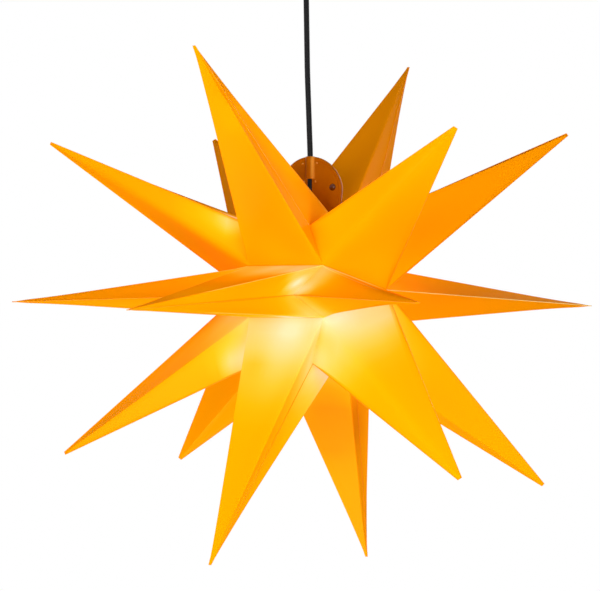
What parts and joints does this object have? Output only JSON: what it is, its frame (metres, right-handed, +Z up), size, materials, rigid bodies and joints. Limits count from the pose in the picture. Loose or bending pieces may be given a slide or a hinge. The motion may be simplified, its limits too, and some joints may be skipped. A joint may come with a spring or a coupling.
{
  "type": "hanging christmas star light",
  "caption": "Hanging star light folded from amber plastic sheets, with an LED bulb inside, a black cable and a ceiling rose",
  "frame": {"origin": "middle of the bracket's flat face on the ceiling, in line with the plumb cable", "axes": "+Z up into the ceiling, +X to the right and +Y away from the viewer in the picture"},
  "size_m": [0.5423, 0.5375, 0.5988],
  "materials": {
    "star_plastic": "satin translucent amber sheet",
    "plate_plastic": "satin amber, moulded",
    "black_plastic": "satin black",
    "cable_rubber": "black cable sheath",
    "plated_steel": "zinc plated",
    "brass": "plain brass",
    "white_plastic": "white moulded",
    "wire_sleeve": "insulated conductors, one brown and one blue",
    "opal_plastic": "opal diffuser",
    "board_metal": "thin aluminium board",
    "led_phosphor": "yellow phosphor",
    "circuit_board": "green board"
  },
  "bodies": {
    "ceiling": {"ceiling_cup": "black_plastic", "ceiling_bracket": "plated_steel", "cup_side_screws": "plated_steel", "terminal_block": "white_plastic", "terminal_screws": "brass", "rose_conductors": "wire_sleeve", "cord_grip": "black_plastic", "cord_grip_nut": "plated_steel", "cord_grip_screw": "white_plastic", "cable_ceiling_end": "cable_rubber"},
    "cable_bend": {"cable_flex": "cable_rubber"},
    "cable": {"pendant_cable": "cable_rubber"},
    "star": {"cable_tail": "cable_rubber", "front_seam_plate": "plate_plastic", "rear_seam_plate": "plate_plastic", "seam_rivets": "plate_plastic", "seam_snap_pins": "star_plastic", "star_sheet_01": "star_plastic", "star_sheet_02": "star_plastic", "star_sheet_03": "star_plastic", "star_sheet_04": "star_plastic", "star_sheet_05": "star_plastic", "star_sheet_06": "star_plastic", "star_sheet_07": "star_plastic", "star_sheet_08": "star_plastic", "star_sheet_09": "star_plastic", "star_sheet_10": "star_plastic", "star_sheet_11": "star_plastic", "star_sheet_12": "star_plastic", "holder_cap": "black_plastic", "holder_body": "black_plastic", "holder_insert": "white_plastic", "holder_shell": "brass", "holder_contact": "brass", "holder_clamp_screw": "plated_steel", "holder_conductors": "wire_sleeve"},
    "bulb_foot": {"bulb_insulator": "black_plastic", "bulb_foot_contact": "brass"},
    "bulb": {"bulb_screw_cap": "plated_steel", "bulb_housing": "white_plastic", "bulb_globe": "opal_plastic", "bulb_led_board": "board_metal", "bulb_led_chips": "led_phosphor", "bulb_driver": "circuit_board"}
  },
  "joints": [
    {"name": "swing_fore_aft", "type": "hinge", "parent": "ceiling", "child": "cable_bend", "pos_m": [0, 0, -0.044], "axis": [1, 0, 0], "range_deg": [-20, 20]},
    {"name": "swing_sideways", "type": "hinge", "parent": "cable_bend", "child": "cable", "pos_m": [0, 0, -0.044], "axis": [0, 1, 0], "range_deg": [-20, 20]},
    {"name": "twist", "type": "hinge", "parent": "cable", "child": "star", "pos_m": [0, 0, -0.205], "axis": [0, 0, 1], "range_deg": [-180, 180]},
    {"name": "bulb_travel", "type": "slide", "parent": "star", "child": "bulb_foot", "axis": [0.0182, -0.0103, 0.9998], "range_m": [-0.01269, 0]},
    {"name": "bulb_turn", "type": "hinge", "parent": "bulb_foot", "child": "bulb", "pos_m": [0, 0, -0.205], "axis": [0.0182, -0.0103, 0.9998], "range_deg": [-1620, 0]}
  ],
  "couplings": [
    {"joint": "bulb_turn", "follows": "bulb_travel", "rad_per_m": 2226.5}
  ]
}
